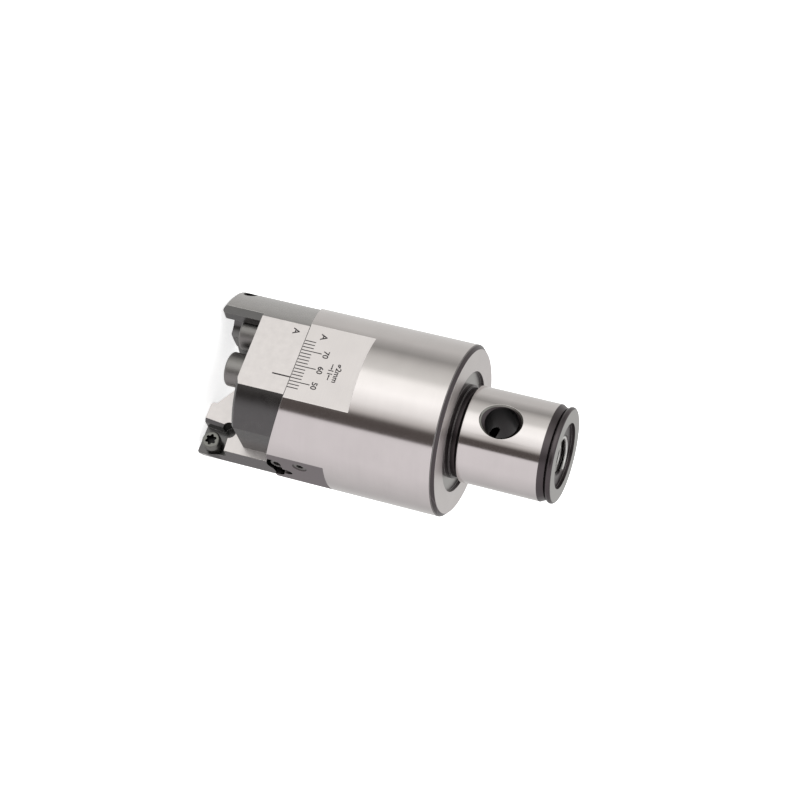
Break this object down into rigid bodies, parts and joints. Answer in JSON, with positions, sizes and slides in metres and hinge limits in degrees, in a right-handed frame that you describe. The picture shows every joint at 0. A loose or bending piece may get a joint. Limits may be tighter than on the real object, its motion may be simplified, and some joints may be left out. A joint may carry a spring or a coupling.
{
  "type": "boring head",
  "caption": "twin-cutter rough boring head with two sliding cartridges, a scale flat and a cylindrical modular spigot",
  "frame": {"origin": "Centre of the rear gauge face, on the tool axis, where the spigot leaves the body.", "axes": "+Z runs along the tool axis towards the spigot and the machine spindle. +X is the way cartridge b slides outwards, and cartridge a slides along -X. -Y is the normal of the scale flat on cartridge a's side. The part stands on the ends of its two noses, as it points down in a vertical spindle."},
  "size_m": [0.05, 0.05, 0.1047],
  "materials": {
    "ground_alloy_steel": "ground",
    "black_oxide_steel": "black oxide",
    "black_screw_steel": "black oxide",
    "star_screw_steel": "satin"
  },
  "bodies": {
    "head": {"head_body": "ground_alloy_steel", "clamp_screw_inner_a": "black_screw_steel", "clamp_screw_outer_a": "black_screw_steel", "clamp_washer_inner_a": "black_screw_steel", "clamp_washer_outer_a": "black_screw_steel", "plug_screw_a": "black_screw_steel", "clamp_screw_inner_b": "black_screw_steel", "clamp_screw_outer_b": "black_screw_steel", "clamp_washer_inner_b": "black_screw_steel", "clamp_washer_outer_b": "black_screw_steel", "plug_screw_b": "black_screw_steel"},
    "cartridge_a": {"cartridge_a": "black_oxide_steel", "insert_screw_a": "star_screw_steel"},
    "cartridge_b": {"cartridge_b": "black_oxide_steel", "insert_screw_b": "star_screw_steel"},
    "adjusting_screw_a": {"adjusting_screw_a": "black_screw_steel"},
    "adjusting_screw_b": {"adjusting_screw_b": "black_screw_steel"}
  },
  "joints": [
    {"name": "cartridge_a_slide", "type": "slide", "parent": "head", "child": "cartridge_a", "axis": [-1, 0, 0], "range_m": [0, 0.009]},
    {"name": "cartridge_b_slide", "type": "slide", "parent": "head", "child": "cartridge_b", "axis": [1, 0, 0], "range_m": [0, 0.009]},
    {"name": "adjusting_screw_a_turn", "type": "hinge", "parent": "head", "child": "adjusting_screw_a", "pos_m": [-0.0175, -0.0017, -0.0494], "axis": [-1, 0, 0], "range_deg": [-4640, 0]},
    {"name": "adjusting_screw_b_turn", "type": "hinge", "parent": "head", "child": "adjusting_screw_b", "pos_m": [0.0175, 0.0017, -0.0494], "axis": [1, 0, 0], "range_deg": [-4640, 0]}
  ],
  "couplings": [
    {"joint": "adjusting_screw_a_turn", "follows": "cartridge_a_slide", "rad_per_m": -8976},
    {"joint": "adjusting_screw_b_turn", "follows": "cartridge_b_slide", "rad_per_m": -8976}
  ]
}
